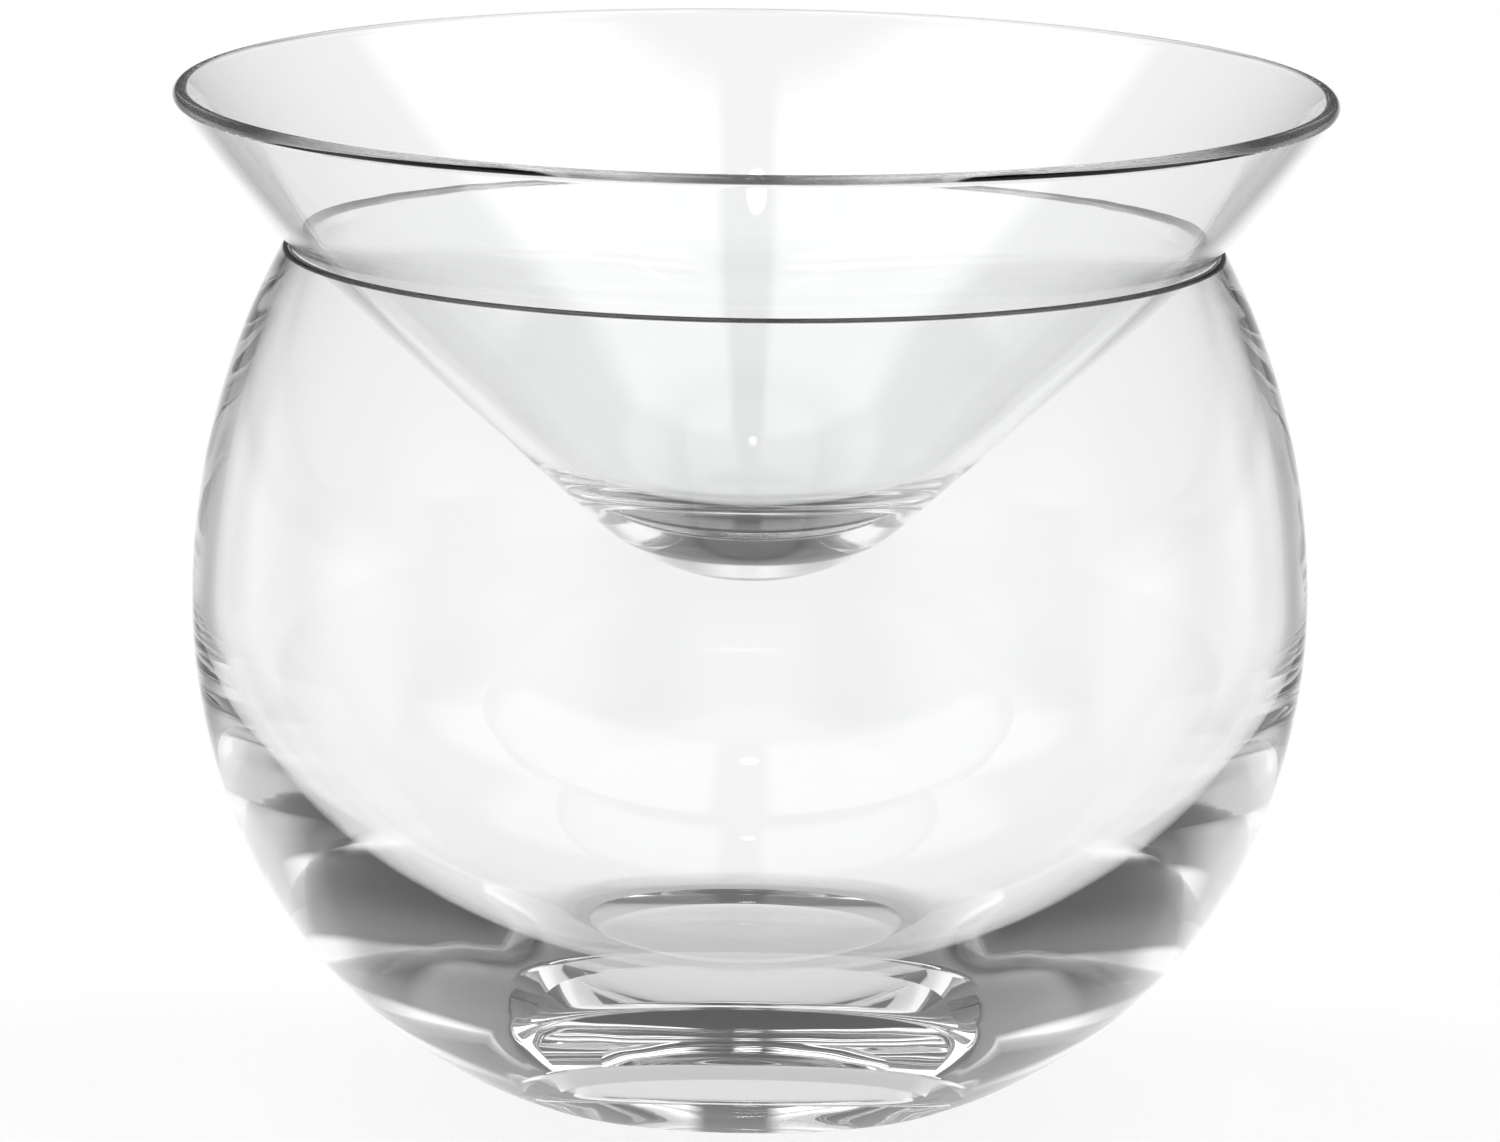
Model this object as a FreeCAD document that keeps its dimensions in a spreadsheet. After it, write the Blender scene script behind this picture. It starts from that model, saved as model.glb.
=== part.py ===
# Caviar server: a heavy-based glass bowl for crushed ice, and a flared glass
# cone that rests in its mouth and holds the caviar. Lengths are in millimetres,
# slopes in degrees from the horizontal. Each piece is turned about +Z, and the
# bowl's foot stands on the plane z = 0, centred on the origin.
import FreeCAD, Part
import math
import os

import Sketcher

SIZES = [
    # Bowl, outside
    ("belly_diameter", 107.2, "width of the bowl at its widest"),
    ("belly_height", 49.0, "height of the widest level"),
    ("mouth_height", 82.8, "height of the lip"),
    ("shoulder_radius", 72.0, "curve of the wall above the belly"),
    ("flank_radius", 57.0, "curve of the wall just below the belly"),
    ("flank_end_height", 26.8, "height where the flank runs into the base"),
    ("foot_diameter", 38.6, "width of the flat foot"),
    ("foot_round", 3.0, "rounding from the foot into the base"),
    # Bowl, inside and underneath
    ("belly_wall", 2.2, "glass thickness at the belly"),
    ("base_thickness", 9.3, "glass under the flat floor of the cavity"),
    ("floor_cut", 2.7, "how far the oval of the cavity would reach below its floor"),
    ("floor_round", 8.0, "rounding from the floor into the wall"),
    ("lip_thickness", 1.1, "glass thickness at the lip, which is fully rounded"),
    ("punt_diameter", 34.0, "width of the hollow under the foot"),
    ("punt_depth", 1.0, "depth of the hollow under the foot"),
    # Cone insert
    ("tip_round", 23.0, "rounding of the tip, outside"),
    ("tip_thickness", 5.2, "glass between the tip and the floor"),
    ("wall_slope", 41.0, "slope of the straight wall above the tip"),
    ("flare_start_radius", 31.3, "radius where the wall turns into the flare"),
    ("flare_curve", 160.0, "curve of the flare, outside"),
    ("rim_diameter", 112.0, "width of the rim"),
    ("cone_wall", 1.6, "glass thickness of wall, flare and fully rounded rim"),
    # Fit
    ("seat_clearance", 0.1, "gap between the cone and the lip"),
]

# What follows from the sizes. The wall inside the bowl touches the rounded lip,
# and the cone sinks until its flare is a clearance away from it.
FITS = [
    ("cavity_radius", "Sizes.belly_diameter / 2 - Sizes.belly_wall"),
    ("oval_bottom", "Sizes.base_thickness - Sizes.floor_cut"),
    ("lip_round", "Sizes.lip_thickness / 2"),
    ("lip_centre_height", "Sizes.mouth_height - lip_round"),
    ("lip_rise", "lip_centre_height - Sizes.belly_height"),
    (
        "lip_centre_radius",
        "Sizes.belly_diameter / 2 - Sizes.shoulder_radius"
        " + sqrt((Sizes.shoulder_radius - lip_round) ^ 2 - lip_rise ^ 2)",
    ),
    ("taper", "cavity_radius - lip_centre_radius"),
    (
        "inner_curve",
        "(taper ^ 2 + lip_rise ^ 2 - lip_round ^ 2) / (2 * (taper + lip_round))",
    ),
    ("rim_round", "Sizes.cone_wall / 2"),
    ("rim_centre_radius", "Sizes.rim_diameter / 2 - rim_round"),
    (
        "flare_start_height",
        "Sizes.tip_round * (1 - cos(Sizes.wall_slope))"
        " + (Sizes.flare_start_radius - Sizes.tip_round * sin(Sizes.wall_slope))"
        " * tan(Sizes.wall_slope)",
    ),
    (
        "flare_centre_radius",
        "Sizes.flare_start_radius - Sizes.flare_curve * sin(Sizes.wall_slope)",
    ),
    (
        "flare_centre_height",
        "flare_start_height + Sizes.flare_curve * cos(Sizes.wall_slope)",
    ),
    (
        "rim_centre_height",
        "flare_centre_height - sqrt((Sizes.flare_curve - rim_round) ^ 2"
        " - (rim_centre_radius - flare_centre_radius) ^ 2)",
    ),
    ("seat_reach", "Sizes.flare_curve + lip_round + Sizes.seat_clearance"),
    (
        "cone_lift",
        "lip_centre_height"
        " + sqrt(seat_reach ^ 2 - (lip_centre_radius - flare_centre_radius) ^ 2)"
        " - flare_centre_height",
    ),
]

START, END, CENTRE = range(1, 4)


def size_sheet(doc):
    """The driving dimensions, one to a row: name, value, what it is."""
    sheet = doc.addObject("Spreadsheet::Sheet", "Sizes")
    for row, (name, value, meaning) in enumerate(SIZES, start=1):
        sheet.set(f"A{row}", name)
        sheet.set(f"B{row}", str(value))
        sheet.set(f"C{row}", meaning)
        sheet.setAlias(f"B{row}", name)
    doc.recompute()
    return sheet


def fit_values(doc):
    """Radii and heights that follow from the sizes, each one an expression."""
    fits = doc.addObject("App::FeaturePython", "Fits")
    for name, rule in FITS:
        fits.addProperty("App::PropertyFloat", name, "Fit")
        fits.setExpression(name, rule)
    doc.recompute()
    return fits


def towards(centre, target, distance):
    """The point that far from the centre, in the target's direction."""
    centre = FreeCAD.Vector(centre[0], centre[1], 0)
    way = FreeCAD.Vector(target[0], target[1], 0) - centre
    return centre + way.normalize() * distance


def below(centre, radius, slope):
    """The point under a circle's centre where the circle has that slope."""
    turn = math.radians(slope)
    return FreeCAD.Vector(
        centre[0] + radius * math.sin(turn), centre[1] - radius * math.cos(turn), 0
    )


class Outline:
    """A closed outline in the plane of the turning axis: x is the radius, y the
    height."""

    origin = (-1, START)

    def __init__(self, body, name):
        plane = next(f for f in body.Origin.OriginFeatures if f.Role == "XZ_Plane")
        self.sketch = body.newObject("Sketcher::SketchObject", name)
        self.sketch.AttachmentSupport = (plane, [""])
        self.sketch.MapMode = "FlatFace"

    def line(self, start, end):
        first = FreeCAD.Vector(start[0], start[1], 0)
        last = FreeCAD.Vector(end[0], end[1], 0)
        return self.sketch.addGeometry(Part.LineSegment(first, last), False)

    def arc(self, centre, start, end):
        """From start to end, with the centre on the left."""
        middle = FreeCAD.Vector(centre[0], centre[1], 0)
        first = FreeCAD.Vector(start[0], start[1], 0) - middle
        last = FreeCAD.Vector(end[0], end[1], 0) - middle
        circle = Part.Circle(middle, FreeCAD.Vector(0, 0, 1), first.Length)
        turn = (math.atan2(first.y, first.x), math.atan2(last.y, last.x))
        return self.sketch.addGeometry(Part.ArcOfCircle(circle, *turn), False)

    def oval(self, centre, across, depth, bottom):
        """The wall of an ellipse, from its lower right up to its side, and the
        place of the ellipse's own lowest point. The longer axis comes first."""
        middle = FreeCAD.Vector(centre[0], centre[1], 0)
        side = middle + FreeCAD.Vector(across, 0, 0)
        if depth > across:
            lowest = middle - FreeCAD.Vector(0, depth, 0)
            ellipse = Part.Ellipse(lowest, side, middle)
            turn = (math.acos((centre[1] - bottom) / depth), math.pi / 2)
        else:
            highest = middle + FreeCAD.Vector(0, depth, 0)
            ellipse = Part.Ellipse(side, highest, middle)
            turn = (math.asin((bottom - centre[1]) / depth), 0)
        piece = self.sketch.addGeometry(Part.ArcOfEllipse(ellipse, *turn), False)
        self.sketch.exposeInternalGeometry(piece)
        first_axis, second_axis = piece + 1, piece + 2
        if depth > across:
            self.rule("Horizontal", second_axis)
            return piece, (first_axis, START)
        self.rule("Horizontal", first_axis)
        return piece, (second_axis, END)

    def rule(self, kind, *where):
        return self.sketch.addConstraint(Sketcher.Constraint(kind, *where))

    def join(self, first, second, at=END, to=START):
        self.rule("Coincident", first, at, second, to)

    def flow(self, first, second, at=END, to=START):
        """The second piece carries on from the first with no corner."""
        self.rule("Tangent", first, at, second, to)

    def at_origin(self, piece, point):
        self.rule("Coincident", piece, point, *self.origin)

    def on_axis(self, piece, point):
        self.rule("Vertical", *self.origin, piece, point)

    def on_ground(self, piece, point):
        self.rule("Horizontal", *self.origin, piece, point)

    def bind(self, kind, where, name, expression, value):
        index = self.sketch.addConstraint(Sketcher.Constraint(kind, *where, value))
        self.sketch.renameConstraint(index, name)
        self.sketch.setExpression(f"Constraints.{name}", expression)

    def radius(self, piece, name, expression, value):
        self.bind("Radius", (piece,), name, expression, value)

    def reach(self, piece, point, name, expression, value):
        self.bind("DistanceX", (*self.origin, piece, point), name, expression, value)

    def height(self, piece, point, name, expression, value):
        self.bind("DistanceY", (*self.origin, piece, point), name, expression, value)

    def slope(self, piece, name, expression, value):
        self.bind("Angle", (piece,), name, f"{expression} * 1 deg", math.radians(value))


def new_body(doc, name):
    body = doc.addObject("PartDesign::Body", name)
    body.Label = name
    return body


def turned(body, kind, name, outline):
    """A full turn of the outline about the vertical axis, adding or cutting."""
    feature = body.newObject(kind, name)
    feature.Profile = outline.sketch
    feature.ReferenceAxis = (outline.sketch, ["V_Axis"])
    feature.Angle = 360
    outline.sketch.Visibility = False
    body.Document.recompute()
    return feature


def bowl_section(body, size, fits):
    """The whole wall in one section: the outside from the foot up, the rounded
    lip, and the inside, an oval whose bottom the thick base's flat floor cuts."""
    belly = size.belly_diameter / 2
    level = size.belly_height
    depth = level - fits.oval_bottom
    rise = (level - size.base_thickness) / depth
    foot = FreeCAD.Vector(size.foot_diameter / 2, 0, 0)
    foot_centre = FreeCAD.Vector(foot.x, size.foot_round, 0)
    floor_side = (fits.cavity_radius * math.sqrt(1 - rise**2), size.base_thickness)
    belly_side = (belly, level)
    cavity_side = (fits.cavity_radius, level)
    flank_centre = (belly - size.flank_radius, level)
    shoulder_centre = (belly - size.shoulder_radius, level)
    wall_centre = (fits.cavity_radius - fits.inner_curve, level)
    lip_centre = (fits.lip_centre_radius, fits.lip_centre_height)
    lip_start = towards(shoulder_centre, lip_centre, size.shoulder_radius)
    lip_end = towards(wall_centre, lip_centre, fits.inner_curve)

    drop = level - size.flank_end_height
    flank_reach = flank_centre[0] + math.sqrt(size.flank_radius**2 - drop**2)
    flank_end = FreeCAD.Vector(flank_reach, size.flank_end_height, 0)
    outward = (flank_end - towards(flank_centre, flank_end, 0)).normalize()
    span = flank_end - foot_centre
    base_radius = (span.Length**2 - size.foot_round**2) / (
        2 * (span.dot(outward) - size.foot_round)
    )
    base_centre = flank_end - outward * base_radius
    foot_end = towards(base_centre, foot_centre, base_radius)

    outline = Outline(body, "bowl_section")
    ground = outline.line((0, 0), foot)
    foot_edge = outline.arc(foot_centre, foot, foot_end)
    base = outline.arc(base_centre, foot_end, flank_end)
    flank = outline.arc(flank_centre, flank_end, belly_side)
    shoulder = outline.arc(shoulder_centre, belly_side, lip_start)
    lip = outline.arc(lip_centre, lip_start, lip_end)
    wall = outline.arc(wall_centre, cavity_side, lip_end)
    oval, oval_bottom = outline.oval(
        (0, level), fits.cavity_radius, depth, size.base_thickness
    )
    floor = outline.line((0, size.base_thickness), floor_side)
    axis = outline.line((0, size.base_thickness), (0, 0))

    outline.at_origin(ground, START)
    outline.on_ground(ground, END)
    outline.flow(ground, foot_edge)
    outline.flow(foot_edge, base)
    outline.flow(base, flank)
    outline.flow(flank, shoulder)
    outline.flow(shoulder, lip)
    outline.flow(lip, wall, END, END)
    outline.join(wall, oval, START, END)
    outline.join(oval, floor, START, END)
    outline.join(floor, axis, START, START)
    outline.at_origin(axis, END)
    outline.on_axis(floor, START)
    outline.on_axis(oval, CENTRE)
    outline.rule("Horizontal", floor)
    outline.rule("Horizontal", flank, CENTRE, flank, END)
    outline.rule("Horizontal", wall, CENTRE, flank, END)
    outline.rule("Horizontal", oval, CENTRE, flank, END)
    outline.rule("Horizontal", oval, END, flank, END)
    outline.reach(ground, END, "foot", "Sizes.foot_diameter / 2", foot.x)
    outline.radius(foot_edge, "foot_curve", "Sizes.foot_round", size.foot_round)
    outline.height(
        flank, START, "flank_end", "Sizes.flank_end_height", size.flank_end_height
    )
    outline.radius(flank, "flank_curve", "Sizes.flank_radius", size.flank_radius)
    outline.reach(flank, END, "belly", "Sizes.belly_diameter / 2", belly)
    outline.height(flank, END, "belly_level", "Sizes.belly_height", level)
    outline.radius(
        shoulder, "shoulder_curve", "Sizes.shoulder_radius", size.shoulder_radius
    )
    outline.radius(lip, "lip_curve", "Fits.lip_round", fits.lip_round)
    outline.height(
        lip, CENTRE, "lip_level", "Fits.lip_centre_height", fits.lip_centre_height
    )
    outline.reach(wall, START, "cavity", "Fits.cavity_radius", fits.cavity_radius)
    outline.height(*oval_bottom, "oval_bottom", "Fits.oval_bottom", fits.oval_bottom)
    outline.height(
        floor, START, "base_thickness", "Sizes.base_thickness", size.base_thickness
    )
    return turned(body, "PartDesign::Revolution", "bowl_form", outline)


def level_ring(shape, height):
    """The name of the round level edge at that height."""
    for index, edge in enumerate(shape.Edges, start=1):
        if isinstance(edge.Curve, Part.Circle):
            if math.isclose(edge.Curve.Center.z, height):
                return f"Edge{index}"
    raise ValueError(f"no round edge at height {height}")


def floor_rounding(body, size, form):
    """A soft corner where the flat floor meets the oval wall."""
    rounding = body.newObject("PartDesign::Fillet", "floor_rounding")
    rounding.Base = (form, [level_ring(form.Shape, size.base_thickness)])
    rounding.setExpression("Radius", "Sizes.floor_round")
    body.Document.recompute()
    return rounding


def punt(body, size):
    """The shallow hollow under the base, which leaves a ring to stand on."""
    reach = size.punt_diameter / 2
    curve = (reach**2 + size.punt_depth**2) / (2 * size.punt_depth)
    centre = (0, size.punt_depth - curve)

    outline = Outline(body, "punt_outline")
    dish = outline.arc(centre, (reach, 0), (0, size.punt_depth))
    axis = outline.line((0, size.punt_depth), (0, 0))
    ground = outline.line((0, 0), (reach, 0))
    outline.join(dish, axis)
    outline.join(axis, ground)
    outline.join(ground, dish)
    outline.on_axis(dish, CENTRE)
    outline.on_axis(dish, END)
    outline.at_origin(axis, END)
    outline.on_ground(ground, END)
    outline.reach(ground, END, "punt_reach", "Sizes.punt_diameter / 2", reach)
    outline.height(dish, END, "punt_depth", "Sizes.punt_depth", size.punt_depth)
    return turned(body, "PartDesign::Groove", "punt", outline)


def globe_bowl(doc, size, fits):
    body = new_body(doc, "globe_bowl")
    form = bowl_section(body, size, fits)
    rounded = floor_rounding(body, size, form)
    body.Tip = punt(body, size)
    check_cut(rounded, body.Tip)
    return body


def cone_section(body, size, fits):
    """The whole wall in one section: rounded tip, straight wall, curved flare and
    rounded rim outside, and the same inside above a thicker floor."""
    slope = math.radians(size.wall_slope)
    tip_centre = (0, size.tip_round)
    tip_end = below(tip_centre, size.tip_round, size.wall_slope)
    flare_start = (size.flare_start_radius, fits.flare_start_height)
    flare_centre = (fits.flare_centre_radius, fits.flare_centre_height)
    inner_curve = size.flare_curve - size.cone_wall
    inner_start = below(flare_centre, inner_curve, size.wall_slope)
    rim_centre = (fits.rim_centre_radius, fits.rim_centre_height)
    rim_start = towards(flare_centre, rim_centre, size.flare_curve)
    rim_end = towards(flare_centre, rim_centre, inner_curve)
    skin = size.cone_wall / math.cos(slope)
    spread = 1 / math.cos(slope) - 1
    floor_curve = size.tip_round + (size.tip_thickness - skin) / spread
    floor_centre = (0, size.tip_thickness + floor_curve)
    floor_end = below(floor_centre, floor_curve, size.wall_slope)

    outline = Outline(body, "cone_section")
    tip = outline.arc(tip_centre, (0, 0), tip_end)
    wall = outline.line(tip_end, flare_start)
    flare = outline.arc(flare_centre, flare_start, rim_start)
    rim = outline.arc(rim_centre, rim_start, rim_end)
    inner_flare = outline.arc(flare_centre, inner_start, rim_end)
    inner_wall = outline.line(floor_end, inner_start)
    floor = outline.arc(floor_centre, (0, size.tip_thickness), floor_end)
    axis = outline.line((0, 0), (0, size.tip_thickness))

    outline.at_origin(tip, START)
    outline.on_axis(tip, CENTRE)
    outline.flow(tip, wall)
    outline.flow(wall, flare)
    outline.flow(flare, rim)
    outline.flow(rim, inner_flare, END, END)
    outline.join(flare, inner_flare, CENTRE, CENTRE)
    outline.flow(inner_wall, inner_flare)
    outline.rule("Parallel", wall, inner_wall)
    outline.flow(floor, inner_wall)
    outline.on_axis(floor, CENTRE)
    outline.join(axis, floor)
    outline.at_origin(axis, START)
    outline.on_axis(axis, END)
    outline.radius(tip, "tip_curve", "Sizes.tip_round", size.tip_round)
    outline.slope(wall, "wall_slope", "Sizes.wall_slope", size.wall_slope)
    outline.reach(
        flare, START, "flare_start", "Sizes.flare_start_radius", size.flare_start_radius
    )
    outline.radius(flare, "flare_curve", "Sizes.flare_curve", size.flare_curve)
    outline.reach(
        rim, CENTRE, "rim_centre", "Fits.rim_centre_radius", fits.rim_centre_radius
    )
    outline.radius(rim, "rim_curve", "Fits.rim_round", fits.rim_round)
    outline.height(
        floor, START, "tip_thickness", "Sizes.tip_thickness", size.tip_thickness
    )
    return turned(body, "PartDesign::Revolution", "cone_form", outline)


def cone_insert(doc, size, fits):
    body = new_body(doc, "cone_insert")
    body.Tip = cone_section(body, size, fits)
    body.setExpression("Placement.Base.z", "Fits.cone_lift")
    return body


def check_cut(before, after):
    """A cut has to take glass away."""
    if not after.Shape.Volume < before.Shape.Volume:
        raise ValueError(f"{after.Label} cuts nothing")


def check_document(doc, pieces):
    for item in doc.Objects:
        if "Invalid" in item.State or "Error" in item.State:
            raise ValueError(f"{item.Label} failed: {item.State}")
    for piece in pieces:
        if piece.Shape.isNull() or not piece.Shape.isValid():
            raise ValueError(f"{piece.Label} has no valid shape")
        if len(piece.Shape.Solids) != 1:
            raise ValueError(f"{piece.Label} isn't one solid")


def main():
    doc = FreeCAD.newDocument("caviar_server")
    size = size_sheet(doc)
    fits = fit_values(doc)
    pieces = [globe_bowl(doc, size, fits), cone_insert(doc, size, fits)]
    doc.recompute()
    check_document(doc, pieces)
    os.makedirs("parts", exist_ok=True)
    for piece in pieces:
        piece.Shape.exportStep(os.path.join("parts", f"{piece.Label}.step"))
        print(f"{piece.Label}: {piece.Shape.Volume / 1000:.1f} ml of glass")


main()
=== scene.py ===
import math

import bpy
from mathutils import Matrix, Vector


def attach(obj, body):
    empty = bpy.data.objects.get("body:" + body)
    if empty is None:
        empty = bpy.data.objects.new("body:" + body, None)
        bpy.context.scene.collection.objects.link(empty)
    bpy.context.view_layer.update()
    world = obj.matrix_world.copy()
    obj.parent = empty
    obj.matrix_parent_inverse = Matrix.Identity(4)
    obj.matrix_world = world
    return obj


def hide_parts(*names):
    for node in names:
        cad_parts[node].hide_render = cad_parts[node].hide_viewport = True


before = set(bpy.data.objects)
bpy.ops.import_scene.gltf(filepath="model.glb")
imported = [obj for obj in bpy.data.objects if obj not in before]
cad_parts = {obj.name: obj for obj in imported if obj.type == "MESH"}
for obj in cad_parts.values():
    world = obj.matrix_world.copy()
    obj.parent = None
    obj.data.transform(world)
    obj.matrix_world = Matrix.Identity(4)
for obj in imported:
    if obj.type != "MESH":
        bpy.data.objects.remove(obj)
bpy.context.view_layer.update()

MM = 0.001

# Sizes in millimetres, the same as the part's own
BELLY_R = 53.6
BELLY_Z = 49.0
MOUTH_Z = 82.8
SHOULDER_R = 72.0
FLANK_R = 57.0
FLANK_END_Z = 26.8
FOOT_R = 19.3
FOOT_ROUND = 3.0
BELLY_WALL = 2.2
BASE = 9.3
FLOOR_CUT = 2.7
FLOOR_ROUND = 8.0
LIP = 1.1
PUNT_R = 17.0
PUNT_DEPTH = 1.0
TIP_ROUND = 23.0
TIP = 5.2
WALL_SLOPE = math.radians(41.0)
FLARE_START_R = 31.3
FLARE_CURVE = 160.0
RIM_R = 56.0
CONE_WALL = 1.6
SEAT_GAP = 0.1

# How many steps each stretch of a profile has, and how many a full turn
TURNS = 320
PUNT_STEPS = 16
FOOT_STEPS = 3
FOOT_ROUND_STEPS = 14
LOW_STEPS = 50
FLANK_STEPS = 28
SHOULDER_STEPS = 34
LIP_STEPS = 22
OVAL_STEPS = 64
FLOOR_STEPS = 5
FLOOR_ROUND_STEPS = 24
TIP_STEPS = 30
SLOPE_STEPS = 18
FLARE_STEPS = 46
WELL_STEPS = 34
HALVINGS = 60

# Glass: broad waves as hand-finished glass has, in metres
GLASS_IOR = 1.5
WAVE_SCALE = 45.0
WAVE_DETAIL = 2.0
WAVE_DEPTH = 0.00003
TINT = (0.985, 0.988, 0.988)

# The lip's painted shade, a dark line painted into the glass colour where the rounded lip
# shows dark: its colour, where it fades in and out round the lip in radians, and how far
# from the lip's centre it reaches in millimetres
LIP_PAINTED_SHADE = (0.012, 0.012, 0.012)
LIP_FROM = (math.radians(10), math.radians(22))
LIP_TO = (math.radians(95), math.radians(110))
LIP_REACH = (0.62, 0.70)

# Camera, in metres and radians
CAMERA_DISTANCE = 3.0
CAMERA_ELEVATION = math.radians(9.2)
CAMERA_TARGET_Z = 0.050
CAMERA_ROLL = math.radians(0.75)
VIEW_WIDTH = 0.14415
VIEW_SHIFT = 14 / 1500
SENSOR_WIDTH = 36.0
CLIP_END = 50.0

# Studio light: strengths, with azimuths and elevations in degrees and the
# overhead places as parts of a unit direction
PANEL = 1.0
PANEL_SIDE = 0.46
PANEL_STEP = 45.0
PANEL_INNER = 4.5
PANEL_OUTER = 21.0
PANEL_TOP = (-1.0, 3.0)
BOX = 1.8
BOX_GAP = (0.05, 0.10)
BOX_GAP_X = 0.02
BOX_LOW = (28.0, 40.0)
BOX_BACK = (0.15, 0.30)
BOX_FRONT = (-0.40, -0.28)
FILL = 0.55
FILL_FROM = (82.0, 112.0)
FILL_TO = (142.0, 170.0)
FILL_TOP = (12.0, 26.0)
LAMP = 9.0
LAMP_PLACE = (-0.005, -0.21)
LAMP_SIZE = (0.022, 0.030)
ROOM_LOW = 0.15
ROOM_HIGH = 0.06
ROOM_FADE = (4.0, 18.0)

# Floor, in metres and strengths
FLOOR_Z = -0.0002
FLOOR_R = 0.16
FLOOR_SIDES = 128
FLOOR_FADE = (0.07, 0.15)
FLOOR_PALE = 0.30
FLOOR_GLOW = 0.85
FLOOR_BOUNCE = 0.80
# Painted shadow on the floor, seen only through the glass: where the shade under and near
# the foot ends, and how bright the floor is painted there
FOOT_EDGE = (0.0165, 0.0175)
FOOT_SHADE = (0.0175, 0.030)
UNDER_FOOT_PAINTED_SHADOW = 0.75
NEAR_FOOT_PAINTED_SHADOW = 0.55

# Light that runs along inside a wall or rim needs many bounces to come out
GLASS_BOUNCES = 64
CLEAR_BOUNCES = 16

# Doubled points of a profile, in millimetres and as a cosine
SAME_PLACE = 1e-6
SAME_WAY = 0.9999


# Profiles: points as radius, height and the outward normal's two parts

def arc(centre, radius, start, end, count):
    """Points and outward normals along a circle, angles in radians."""
    out = []
    for i in range(count + 1):
        t = start + (end - start) * i / count
        nr, nz = math.cos(t), math.sin(t)
        out.append((centre[0] + radius * nr, centre[1] + radius * nz, nr, nz))
    return out


def inward(points):
    """The same points with normals that look the other way."""
    return [(r, z, -nr, -nz) for r, z, nr, nz in points]


def line(start, end, normal, count):
    """Points along a straight run, all with the same normal."""
    out = []
    for i in range(count + 1):
        f = i / count
        r = start[0] + (end[0] - start[0]) * f
        z = start[1] + (end[1] - start[1]) * f
        out.append((r, z, *normal))
    return out


def joined(*stretches):
    """One run of points; a doubled point with the same normal is dropped."""
    out = []
    for stretch in stretches:
        for p in stretch:
            if out and math.dist(out[-1][:2], p[:2]) < SAME_PLACE:
                if out[-1][2] * p[2] + out[-1][3] * p[3] > SAME_WAY:
                    continue
            out.append(p)
    return out


def outer_basin():
    """The outside from the foot's edge up to the belly: the foot's round, a
    low curve that meets the flank smoothly, then the flank."""
    low = math.asin((BELLY_Z - FLANK_END_Z) / FLANK_R)
    centre = (BELLY_R - FLANK_R, BELLY_Z)
    start = (centre[0] + FLANK_R * math.cos(low), FLANK_END_Z)
    outward = (math.cos(low), -math.sin(low))
    foot_c = (FOOT_R, FOOT_ROUND)
    span = (start[0] - foot_c[0], start[1] - foot_c[1])
    along = span[0] * outward[0] + span[1] * outward[1]
    curve = (span[0] ** 2 + span[1] ** 2 - FOOT_ROUND**2) / (2 * (along - FOOT_ROUND))
    curve_c = (start[0] - outward[0] * curve, start[1] - outward[1] * curve)
    turn = math.atan2(foot_c[1] - curve_c[1], foot_c[0] - curve_c[0])
    return joined(
        arc(foot_c, FOOT_ROUND, -math.pi / 2, turn, FOOT_ROUND_STEPS),
        arc(curve_c, curve, turn, -low, LOW_STEPS),
        arc(centre, FLANK_R, -low, 0, FLANK_STEPS),
    )


def oval_basin(across):
    """The inside from the middle of its flat floor out and up to the belly: a
    soft corner, then the wall of a lying ellipse."""
    depth = BELLY_Z - (BASE - FLOOR_CUT)

    def wall(turn):
        size = math.hypot(depth * math.cos(turn), across * math.sin(turn))
        nr, nz = depth * math.cos(turn) / size, -across * math.sin(turn) / size
        return across * math.cos(turn), BELLY_Z - depth * math.sin(turn), nr, nz

    # the corner's centre slides down the ellipse until the corner meets the floor
    low, high = 0.0, math.pi / 2
    for _ in range(HALVINGS):
        middle = (low + high) / 2
        r, z, nr, nz = wall(middle)
        if z - FLOOR_ROUND * nz > BASE + FLOOR_ROUND:
            low = middle
        else:
            high = middle
    r, z, nr, nz = wall(low)
    centre = (r - FLOOR_ROUND * nr, z - FLOOR_ROUND * nz)
    return joined(
        line((0, BASE), (centre[0], BASE), (0, -1), FLOOR_STEPS),
        arc(centre, FLOOR_ROUND, -math.pi / 2, math.atan2(nz, nr), FLOOR_ROUND_STEPS),
        [wall(low * (1 - i / OVAL_STEPS)) for i in range(OVAL_STEPS + 1)],
    )


def bowl_profile():
    """The bowl from the punt's middle round the outside and back down the
    inside, and the centre of its rounded lip."""
    cavity = BELLY_R - BELLY_WALL
    lip = LIP / 2
    lip_z = MOUTH_Z - lip
    rise = lip_z - BELLY_Z
    shoulder_c = (BELLY_R - SHOULDER_R, BELLY_Z)
    lip_c = (shoulder_c[0] + math.sqrt((SHOULDER_R - lip) ** 2 - rise**2), lip_z)
    taper = cavity - lip_c[0]
    inner = (taper**2 + rise**2 - lip**2) / (2 * (taper + lip))
    wall_c = (cavity - inner, BELLY_Z)
    a_lip = math.atan2(rise, lip_c[0] - shoulder_c[0])
    a_wall = math.atan2(rise, lip_c[0] - wall_c[0])
    dish = (PUNT_R**2 + PUNT_DEPTH**2) / (2 * PUNT_DEPTH)
    dish_c = (0.0, PUNT_DEPTH - dish)
    a_dish = math.atan2(-dish_c[1], PUNT_R)

    punt = inward(arc(dish_c, dish, math.pi / 2, a_dish, PUNT_STEPS))
    foot = line((PUNT_R, 0), (FOOT_R, 0), (0, -1), FOOT_STEPS)
    shoulder = arc(shoulder_c, SHOULDER_R, 0, a_lip, SHOULDER_STEPS)
    lip_run = arc(lip_c, lip, a_lip, math.pi + a_wall, LIP_STEPS)
    wall = inward(arc(wall_c, inner, a_wall, 0, SHOULDER_STEPS))
    inside = inward(oval_basin(cavity)[::-1])
    return joined(punt, foot, outer_basin(), shoulder, lip_run, wall, inside), lip_c


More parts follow.
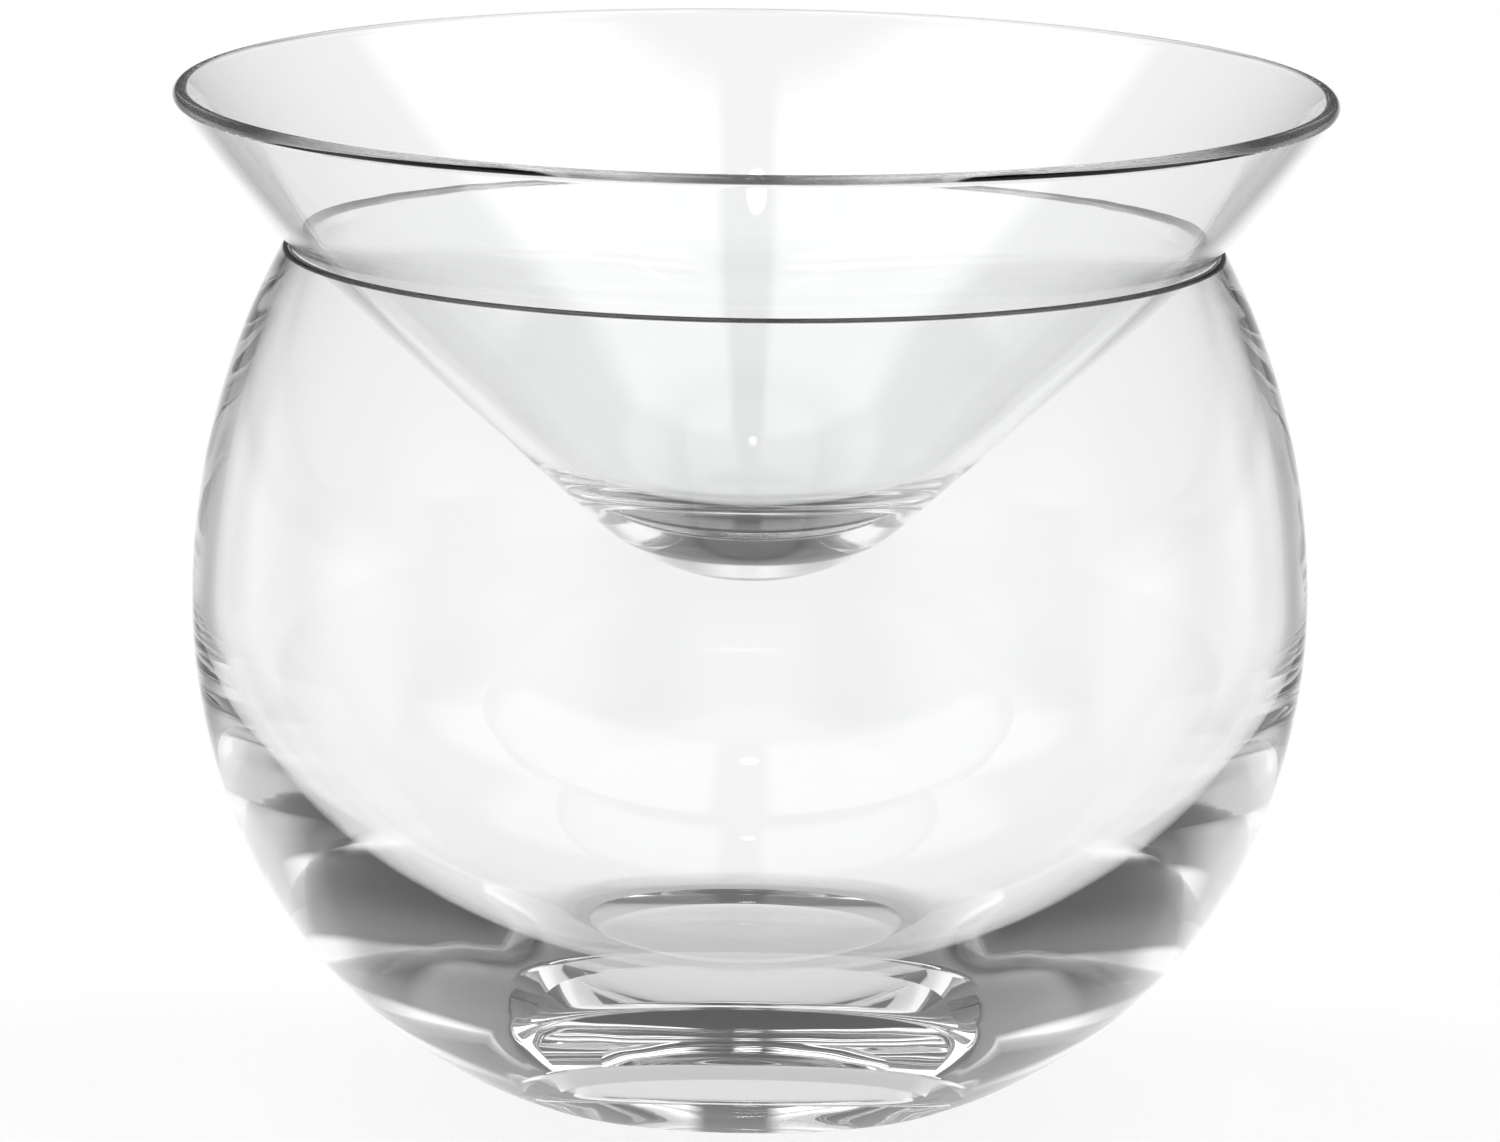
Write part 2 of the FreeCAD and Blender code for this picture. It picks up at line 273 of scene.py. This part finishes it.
def cone_profile(lip_c):
    """The cone from the middle of its tip up the outside and back down the
    inside, at the height where its flare rests on the lip."""
    s = WALL_SLOPE
    w = CONE_WALL
    tip_rise = TIP_ROUND * (1 - math.cos(s))
    start_z = tip_rise + (FLARE_START_R - TIP_ROUND * math.sin(s)) * math.tan(s)
    flare_c = (
        FLARE_START_R - FLARE_CURVE * math.sin(s),
        start_z + FLARE_CURVE * math.cos(s),
    )
    rim_r = RIM_R - w / 2
    rim_z = flare_c[1] - math.sqrt((FLARE_CURVE - w / 2) ** 2 - (rim_r - flare_c[0]) ** 2)
    reach = FLARE_CURVE + LIP / 2 + SEAT_GAP
    seat = math.sqrt(reach**2 - (lip_c[0] - flare_c[0]) ** 2)
    lift = lip_c[1] + seat - flare_c[1]
    a_start = s - math.pi / 2
    a_rim = math.atan2(rim_z - flare_c[1], rim_r - flare_c[0])
    skin = w / math.cos(s)
    spread = 1 / math.cos(s) - 1
    well_curve = TIP_ROUND + (TIP - skin) / spread
    well_c = (0.0, TIP + well_curve)
    outer = (math.sin(s), -math.cos(s))

    tip = arc((0.0, TIP_ROUND), TIP_ROUND, -math.pi / 2, a_start, TIP_STEPS)
    flare = arc(flare_c, FLARE_CURVE, a_start, a_rim, FLARE_STEPS)
    wall = line(tip[-1][:2], flare[0][:2], outer, SLOPE_STEPS)
    rim = arc((rim_r, rim_z), w / 2, a_rim, a_rim + math.pi, LIP_STEPS)
    inner_flare = inward(arc(flare_c, FLARE_CURVE - w, a_rim, a_start, FLARE_STEPS))
    well = inward(arc(well_c, well_curve, a_start, -math.pi / 2, WELL_STEPS))
    inner_normal = (-outer[0], -outer[1])
    inner_wall = line(inner_flare[-1][:2], well[0][:2], inner_normal, SLOPE_STEPS)
    run = joined(tip, wall, flare, rim, inner_flare, inner_wall, well)
    return [(max(r, 0.0), z + lift, nr, nz) for r, z, nr, nz in run]


def lathe(name, profile):
    """A full turn of a profile that starts and ends on the axis, with the
    profile's exact normals."""
    verts, faces, normals, rows = [], [], [], []
    for r, z, nr, nz in profile:
        if r < SAME_PLACE:
            rows.append([len(verts)])
            verts.append((0, 0, z * MM))
            normals.append((0, 0, 1 if nz > 0 else -1))
            continue
        rows.append(list(range(len(verts), len(verts) + TURNS)))
        for k in range(TURNS):
            a = 2 * math.pi * k / TURNS
            verts.append((r * math.cos(a) * MM, r * math.sin(a) * MM, z * MM))
            normals.append((nr * math.cos(a), nr * math.sin(a), nz))
    for low, high in zip(rows, rows[1:]):
        for k in range(TURNS):
            j = (k + 1) % TURNS
            if len(low) == 1:
                faces.append((low[0], high[j], high[k]))
            elif len(high) == 1:
                faces.append((low[k], low[j], high[0]))
            elif math.dist(verts[low[k]], verts[high[k]]) > SAME_PLACE * MM:
                faces.append((low[k], low[j], high[j], high[k]))
    mesh = bpy.data.meshes.new(name)
    mesh.from_pydata(verts, [], faces)
    mesh.validate()
    for p in mesh.polygons:
        p.use_smooth = True
    mesh.normals_split_custom_set_from_vertices([Vector(n).normalized() for n in normals])
    obj = bpy.data.objects.new(name, mesh)
    bpy.context.scene.collection.objects.link(obj)
    return obj


# Materials

def sines(degrees):
    """Heights on the unit sphere of a pair of elevations in degrees."""
    return [math.sin(math.radians(a)) for a in degrees]


def radians(degrees):
    return [math.radians(a) for a in degrees]


class Sheet:
    """Short way to write value nodes in a node tree."""

    def __init__(self, tree):
        self.nodes, self.links = tree.nodes, tree.links

    def feed(self, socket, value):
        if isinstance(value, (int, float)):
            socket.default_value = value
        else:
            self.links.new(value, socket)

    def math(self, kind, a, b=0.0):
        node = self.nodes.new("ShaderNodeMath")
        node.operation = kind
        self.feed(node.inputs[0], a)
        self.feed(node.inputs[1], b)
        return node.outputs[0]

    def ramp(self, value, span, low=0.0, high=1.0):
        """Goes smoothly from low to high as the value crosses the span."""
        node = self.nodes.new("ShaderNodeMapRange")
        node.interpolation_type = "SMOOTHSTEP"
        names = ("Value", "From Min", "From Max", "To Min", "To Max")
        for name, v in zip(names, (value, *span, low, high)):
            self.feed(node.inputs[name], v)
        return node.outputs[0]

    def product(self, *values):
        out = values[0]
        for v in values[1:]:
            out = self.math("MULTIPLY", out, v)
        return out

    def greatest(self, *values):
        out = values[0]
        for v in values[1:]:
            out = self.math("MAXIMUM", out, v)
        return out

    def distance(self, a, b):
        return self.math("SQRT", self.math("ADD", self.product(a, a), self.product(b, b)))

    def parts(self, place):
        split = self.nodes.new("ShaderNodeSeparateXYZ")
        self.links.new(place, split.inputs[0])
        return split.outputs

    def path(self, *names):
        node = self.nodes.new("ShaderNodeLightPath")
        return self.greatest(*(node.outputs[name] for name in names))

    def emission(self, strength=1.0):
        node = self.nodes.new("ShaderNodeEmission")
        self.feed(node.inputs["Strength"], strength)
        return node.outputs[0]

    def diffuse(self, grey):
        node = self.nodes.new("ShaderNodeBsdfDiffuse")
        node.inputs["Color"].default_value = (grey, grey, grey, 1)
        return node.outputs[0]

    def mixed(self, share, first, second):
        node = self.nodes.new("ShaderNodeMixShader")
        self.links.new(share, node.inputs[0])
        self.links.new(first, node.inputs[1])
        self.links.new(second, node.inputs[2])
        return node.outputs[0]


def painted_lip_shade(s, place, centre):
    """Painted shade: where the rounded lip shows as a thin dark line, as it does in the
    photograph, the glass colour is painted dark: the upper outer part of the lip."""
    x, y, z = s.parts(place)
    across = s.math("SUBTRACT", s.distance(x, y), centre[0] * MM)
    up = s.math("SUBTRACT", z, centre[1] * MM)
    turn = s.math("ARCTAN2", up, across)
    return s.product(
        s.ramp(s.distance(across, up), [a * MM for a in LIP_REACH], 1.0, 0.0),
        s.ramp(turn, LIP_FROM),
        s.ramp(turn, LIP_TO, 1.0, 0.0),
    )


def glass(name, lip=None):
    """Clear glass with a faint wave in its surface, and a dark line of painted shade
    in the glass colour round the lip where the lip's centre is given."""
    mat = bpy.data.materials.new(name)
    mat.use_nodes = True
    s = Sheet(mat.node_tree)
    shader = s.nodes["Principled BSDF"]
    shader.inputs["Base Color"].default_value = (*TINT, 1)
    shader.inputs["Roughness"].default_value = 0.0
    shader.inputs["IOR"].default_value = GLASS_IOR
    shader.inputs["Transmission Weight"].default_value = 1.0
    place = s.nodes.new("ShaderNodeTexCoord").outputs["Object"]
    wave = s.nodes.new("ShaderNodeTexNoise")
    wave.inputs["Scale"].default_value = WAVE_SCALE
    wave.inputs["Detail"].default_value = WAVE_DETAIL
    s.links.new(place, wave.inputs["Vector"])
    bump = s.nodes.new("ShaderNodeBump")
    bump.inputs["Strength"].default_value = 1.0
    bump.inputs["Distance"].default_value = WAVE_DEPTH
    s.links.new(wave.outputs["Fac"], bump.inputs["Height"])
    s.links.new(bump.outputs[0], shader.inputs["Normal"])
    if lip:
        # painted shade: the lip's dark line is mixed into the glass colour
        mix = s.nodes.new("ShaderNodeMix")
        mix.data_type = "RGBA"
        s.links.new(painted_lip_shade(s, place, lip), mix.inputs[0])
        mix.inputs[6].default_value = (*TINT, 1)
        mix.inputs[7].default_value = (*LIP_PAINTED_SHADE, 1)
        s.links.new(mix.outputs[2], shader.inputs["Base Color"])
    return mat


bowl_run, lip_centre = bowl_profile()
cone_run = cone_profile(lip_centre)

bowl = lathe("globe_bowl_glass", bowl_run)
bowl.data.materials.append(glass("bowl_glass_painted_lip_shade", lip_centre))
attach(bowl, "root")
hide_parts("globe_bowl")

cone = lathe("cone_insert_glass", cone_run)
cone.data.materials.append(glass("insert_glass_look"))
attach(cone, "root")
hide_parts("cone_insert")


# Stage

def camera():
    """Long lens at the photo's height and turn."""
    data = bpy.data.cameras.new("camera")
    data.sensor_width = SENSOR_WIDTH
    data.lens = SENSOR_WIDTH * CAMERA_DISTANCE / VIEW_WIDTH
    data.clip_end = CLIP_END
    data.shift_y = VIEW_SHIFT
    cam = bpy.data.objects.new("camera", data)
    bpy.context.scene.collection.objects.link(cam)
    way = Vector((0, -math.cos(CAMERA_ELEVATION), math.sin(CAMERA_ELEVATION)))
    target = Vector((0, 0, CAMERA_TARGET_Z))
    cam.location = target + way * CAMERA_DISTANCE
    turn = (-way).to_track_quat("-Z", "Y").to_matrix().to_4x4()
    cam.rotation_euler = (turn @ Matrix.Rotation(CAMERA_ROLL, 4, "Z")).to_euler()
    bpy.context.scene.camera = cam


def studio():
    """White panels at and below the horizon, a dark room above them, two soft
    boxes and a small lamp overhead, and a fill on both sides in front. The
    camera itself sees white."""
    world = bpy.data.worlds.new("studio")
    bpy.context.scene.world = world
    world.use_nodes = True
    s = Sheet(world.node_tree)
    x, y, z = s.parts(s.nodes.new("ShaderNodeTexCoord").outputs["Generated"])

    # azimuth from straight behind the bowl; the shift keeps the modulo positive
    azimuth = s.math("ARCTAN2", x, y)
    step = math.radians(PANEL_STEP)
    shifted = s.math("ADD", azimuth, 8 * step + step / 2)
    off = s.math("ABSOLUTE", s.math("SUBTRACT", s.math("MODULO", shifted, step), step / 2))
    panels = s.product(
        s.ramp(off, radians((PANEL_INNER, PANEL_OUTER)), PANEL, PANEL_SIDE),
        s.ramp(z, sines(PANEL_TOP), 1.0, 0.0),
    )

    side = s.math("ABSOLUTE", s.math("SUBTRACT", x, BOX_GAP_X))
    boxes = s.product(
        s.ramp(side, BOX_GAP, 0.0, BOX),
        s.ramp(z, sines(BOX_LOW)),
        s.ramp(y, BOX_BACK, 1.0, 0.0),
        s.ramp(y, BOX_FRONT),
    )

    lamp_x = s.math("SUBTRACT", x, LAMP_PLACE[0])
    lamp_y = s.math("SUBTRACT", y, LAMP_PLACE[1])
    lamp = s.product(
        s.ramp(s.distance(lamp_x, lamp_y), LAMP_SIZE, LAMP, 0.0),
        s.math("GREATER_THAN", z, 0.0),
    )

    away = s.math("ABSOLUTE", azimuth)
    fill = s.product(
        s.ramp(away, radians(FILL_FROM), 0.0, FILL),
        s.ramp(away, radians(FILL_TO), 1.0, 0.0),
        s.ramp(z, sines(FILL_TOP), 1.0, 0.0),
    )

    room = s.ramp(z, sines(ROOM_FADE), ROOM_LOW, ROOM_HIGH)
    light = s.greatest(panels, boxes, room, lamp, fill)
    seen = s.path("Is Camera Ray")
    unseen = s.math("SUBTRACT", 1.0, seen)
    strength = s.math("ADD", s.product(light, unseen), seen)
    background = s.nodes["Background"]
    background.inputs["Color"].default_value = (1, 1, 1, 1)
    s.links.new(strength, background.inputs["Strength"])


def floor():
    """Pale disc under the bowl that fades into the white round it. Seen
    through the glass it has a painted shadow under and near the foot, set in its glow."""
    verts, faces = [(0, 0, FLOOR_Z)], []
    for k in range(FLOOR_SIDES):
        a = 2 * math.pi * k / FLOOR_SIDES
        verts.append((FLOOR_R * math.cos(a), FLOOR_R * math.sin(a), FLOOR_Z))
        faces.append((0, 1 + k, 1 + (k + 1) % FLOOR_SIDES))
    mesh = bpy.data.meshes.new("floor")
    mesh.from_pydata(verts, [], faces)
    obj = bpy.data.objects.new("floor", mesh)
    bpy.context.scene.collection.objects.link(obj)

    mat = bpy.data.materials.new("pale_floor")
    mat.use_nodes = True
    s = Sheet(mat.node_tree)
    s.nodes.remove(s.nodes["Principled BSDF"])
    size = s.nodes.new("ShaderNodeVectorMath")
    size.operation = "LENGTH"
    s.links.new(s.nodes.new("ShaderNodeTexCoord").outputs["Object"], size.inputs[0])
    radius = size.outputs["Value"]

    # what the camera sees: white, with the bowl's own shadow near it
    shaded = s.nodes.new("ShaderNodeAddShader")
    s.links.new(s.diffuse(FLOOR_PALE), shaded.inputs[0])
    s.links.new(s.emission(FLOOR_GLOW), shaded.inputs[1])
    fade = s.ramp(radius, FLOOR_FADE, 1.0, 0.0)
    direct = s.mixed(fade, s.emission(), shaded.outputs[0])

    # what the glass shows: a painted shadow under and near the foot, set as the floor's
    # glow
    near = s.ramp(radius, FOOT_SHADE, NEAR_FOOT_PAINTED_SHADOW, 1.0)
    under = s.ramp(radius, FOOT_EDGE, UNDER_FOOT_PAINTED_SHADOW, 0.0)
    painted_foot_shadow = s.emission(s.greatest(near, under))

    plain = s.mixed(s.path("Is Camera Ray"), s.diffuse(FLOOR_BOUNCE), direct)
    in_glass = s.path("Is Glossy Ray", "Is Transmission Ray")
    surface = s.mixed(in_glass, plain, painted_foot_shadow)
    s.links.new(surface, s.nodes["Material Output"].inputs["Surface"])
    obj.data.materials.append(mat)


camera()
studio()
floor()
scene = bpy.context.scene
scene.view_settings.view_transform = "Standard"
scene.cycles.max_bounces = GLASS_BOUNCES
scene.cycles.transmission_bounces = GLASS_BOUNCES
scene.cycles.glossy_bounces = GLASS_BOUNCES
scene.cycles.transparent_max_bounces = CLEAR_BOUNCES
